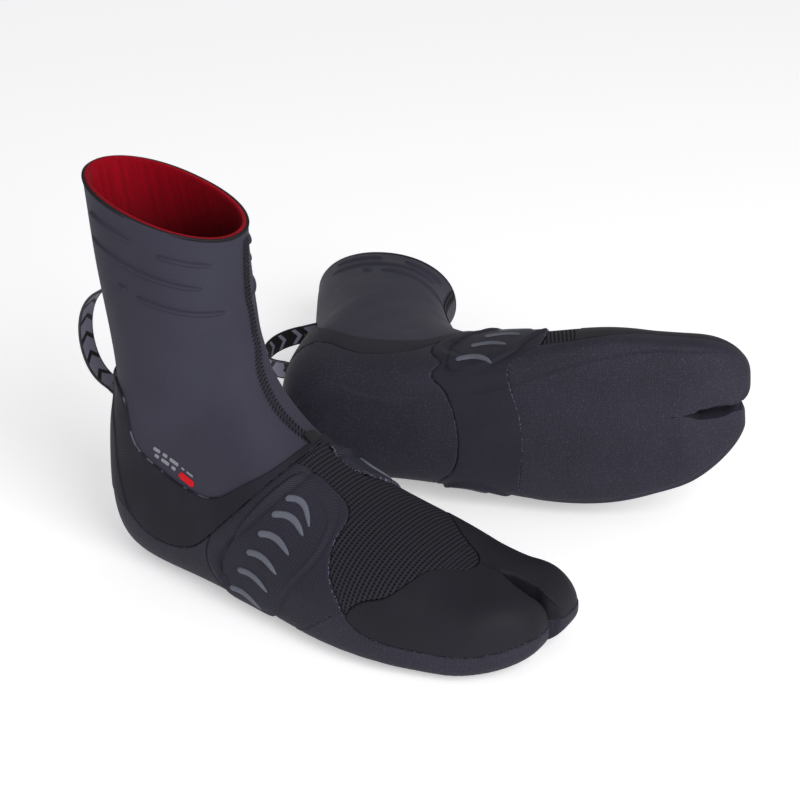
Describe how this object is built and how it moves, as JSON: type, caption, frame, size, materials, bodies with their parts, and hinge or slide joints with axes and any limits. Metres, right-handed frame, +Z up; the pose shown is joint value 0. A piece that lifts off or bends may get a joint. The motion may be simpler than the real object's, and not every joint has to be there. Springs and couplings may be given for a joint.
{
  "type": "neoprene boots",
  "caption": "Pair of split-toe neoprene surf boots: one stands, its mirror-image mate lies on its outer side; flexing ankles and toes, swinging heel pull loops.",
  "frame": {"origin": "floor under the middle of the right boot's heel, on its sole", "axes": "+Y towards the right boot's toes, +X towards its outer side, +Z up; the left boot lies on its outer side towards -X"},
  "size_m": [0.3368, 0.3481, 0.2231],
  "materials": {
    "coated_neoprene": "smooth matte rubber skin",
    "band_rubber": "fine twill-textured matte rubber",
    "sole_rubber": "fine-textured matte rubber",
    "knit_mesh": "coarse knit mesh",
    "toe_rubber": "smooth matte rubber",
    "neoprene": "closed-cell foam, jersey faced",
    "leg_neoprene": "smooth-skin neoprene, satin",
    "red_jersey": "ribbed brushed jersey",
    "insole_foam": "matte foam",
    "grey_rubber": "raised rubber ribs, matte",
    "tape": "woven tape",
    "thread": "flatlock thread",
    "webbing": "woven webbing with a dark pattern",
    "print": "screen print"
  },
  "bodies": {
    "right_foot": {"right_heel_cup": "coated_neoprene", "right_heel_sole": "sole_rubber", "right_arch_band": "band_rubber", "right_forefoot_sole": "sole_rubber", "right_vamp_mesh": "knit_mesh", "right_toe_cap": "toe_rubber", "right_foot_foam": "neoprene", "right_foot_lining": "red_jersey", "right_insole": "insole_foam", "right_ankle_panel": "leg_neoprene", "right_outer_grip_ribs": "grey_rubber", "right_inner_grip_ribs": "grey_rubber", "right_heel_tape": "tape", "right_side_badge": "print", "right_instep_bartack": "thread"},
    "right_leg": {"right_leg_panel_outer": "leg_neoprene", "right_leg_panel_inner": "leg_neoprene", "right_leg_lining": "red_jersey", "right_cuff_binding": "tape", "right_front_seam": "thread", "right_back_seam": "tape", "right_cuff_seal_ribs": "leg_neoprene", "right_loop_tacks": "webbing"},
    "right_loop": {"right_pull_loop": "webbing"},
    "right_big_toe": {"right_big_toe_cap": "toe_rubber", "right_big_toe_sole": "sole_rubber", "right_big_toe_flex_zone": "toe_rubber"},
    "right_toes": {"right_toes_cap": "toe_rubber", "right_toes_sole": "sole_rubber", "right_toes_flex_zone": "toe_rubber"},
    "left_foot": {"left_heel_cup": "coated_neoprene", "left_heel_sole": "sole_rubber", "left_arch_band": "band_rubber", "left_forefoot_sole": "sole_rubber", "left_vamp_mesh": "knit_mesh", "left_toe_cap": "toe_rubber", "left_foot_foam": "neoprene", "left_foot_lining": "red_jersey", "left_insole": "insole_foam", "left_ankle_panel": "leg_neoprene", "left_outer_grip_ribs": "grey_rubber", "left_inner_grip_ribs": "grey_rubber", "left_heel_tape": "tape", "left_side_badge": "print", "left_instep_bartack": "thread"},
    "left_leg": {"left_leg_panel_outer": "leg_neoprene", "left_leg_panel_inner": "leg_neoprene", "left_leg_lining": "red_jersey", "left_cuff_binding": "tape", "left_front_seam": "thread", "left_back_seam": "tape", "left_cuff_seal_ribs": "leg_neoprene", "left_loop_tacks": "webbing"},
    "left_loop": {"left_pull_loop": "webbing"},
    "left_big_toe": {"left_big_toe_cap": "toe_rubber", "left_big_toe_sole": "sole_rubber", "left_big_toe_flex_zone": "toe_rubber"},
    "left_toes": {"left_toes_cap": "toe_rubber", "left_toes_sole": "sole_rubber", "left_toes_flex_zone": "toe_rubber"}
  },
  "joints": [
    {"name": "right_ankle_bend", "type": "hinge", "parent": "right_foot", "child": "right_leg", "pos_m": [0, 0.015, 0.085], "axis": [1, 0, 0], "range_deg": [-20, 10], "stiffness_Nm_per_rad": 1.2, "deforming": ["right_ankle_panel"]},
    {"name": "right_loop_swing", "type": "hinge", "parent": "right_leg", "child": "right_loop", "pos_m": [0, -0.055, 0.118], "axis": [0, 0, 1], "range_deg": [-35, 35], "stiffness_Nm_per_rad": 0.01},
    {"name": "right_big_toe_bend", "type": "hinge", "parent": "right_foot", "child": "right_big_toe", "pos_m": [-0.023, 0.195, 0.022], "axis": [1, 0, 0], "range_deg": [-15, 20], "stiffness_Nm_per_rad": 0.6, "deforming": ["right_big_toe_flex_zone"]},
    {"name": "right_toes_bend", "type": "hinge", "parent": "right_foot", "child": "right_toes", "pos_m": [0.022, 0.195, 0.022], "axis": [1, 0, 0], "range_deg": [-15, 20], "stiffness_Nm_per_rad": 0.6, "deforming": ["right_toes_flex_zone"]},
    {"name": "left_ankle_bend", "type": "hinge", "parent": "left_foot", "child": "left_leg", "pos_m": [-0.16233, 0.03063, 0.04861], "axis": [-0.0297, -0.1153, 0.9929], "range_deg": [-20, 10], "stiffness_Nm_per_rad": 1.2, "deforming": ["left_ankle_panel"]},
    {"name": "left_loop_swing", "type": "hinge", "parent": "left_leg", "child": "left_loop", "pos_m": [-0.16481, -0.04619, 0.03962], "axis": [-0.9173, -0.3914, -0.0729], "range_deg": [-35, 35], "stiffness_Nm_per_rad": 0.01},
    {"name": "left_big_toe_bend", "type": "hinge", "parent": "left_foot", "child": "left_big_toe", "pos_m": [-0.17668, 0.21697, 0.09298], "axis": [-0.0297, -0.1153, 0.9929], "range_deg": [-15, 20], "stiffness_Nm_per_rad": 0.6, "deforming": ["left_big_toe_flex_zone"]},
    {"name": "left_toes_bend", "type": "hinge", "parent": "left_foot", "child": "left_toes", "pos_m": [-0.17534, 0.22216, 0.0483], "axis": [-0.0297, -0.1153, 0.9929], "range_deg": [-15, 20], "stiffness_Nm_per_rad": 0.6, "deforming": ["left_toes_flex_zone"]},
    {"name": "left_boot_slide", "type": "slide", "parent": "right_foot", "child": "left_foot", "axis": [-0.9198, -0.3924, 0], "range_m": [0, 0.15]}
  ]
}
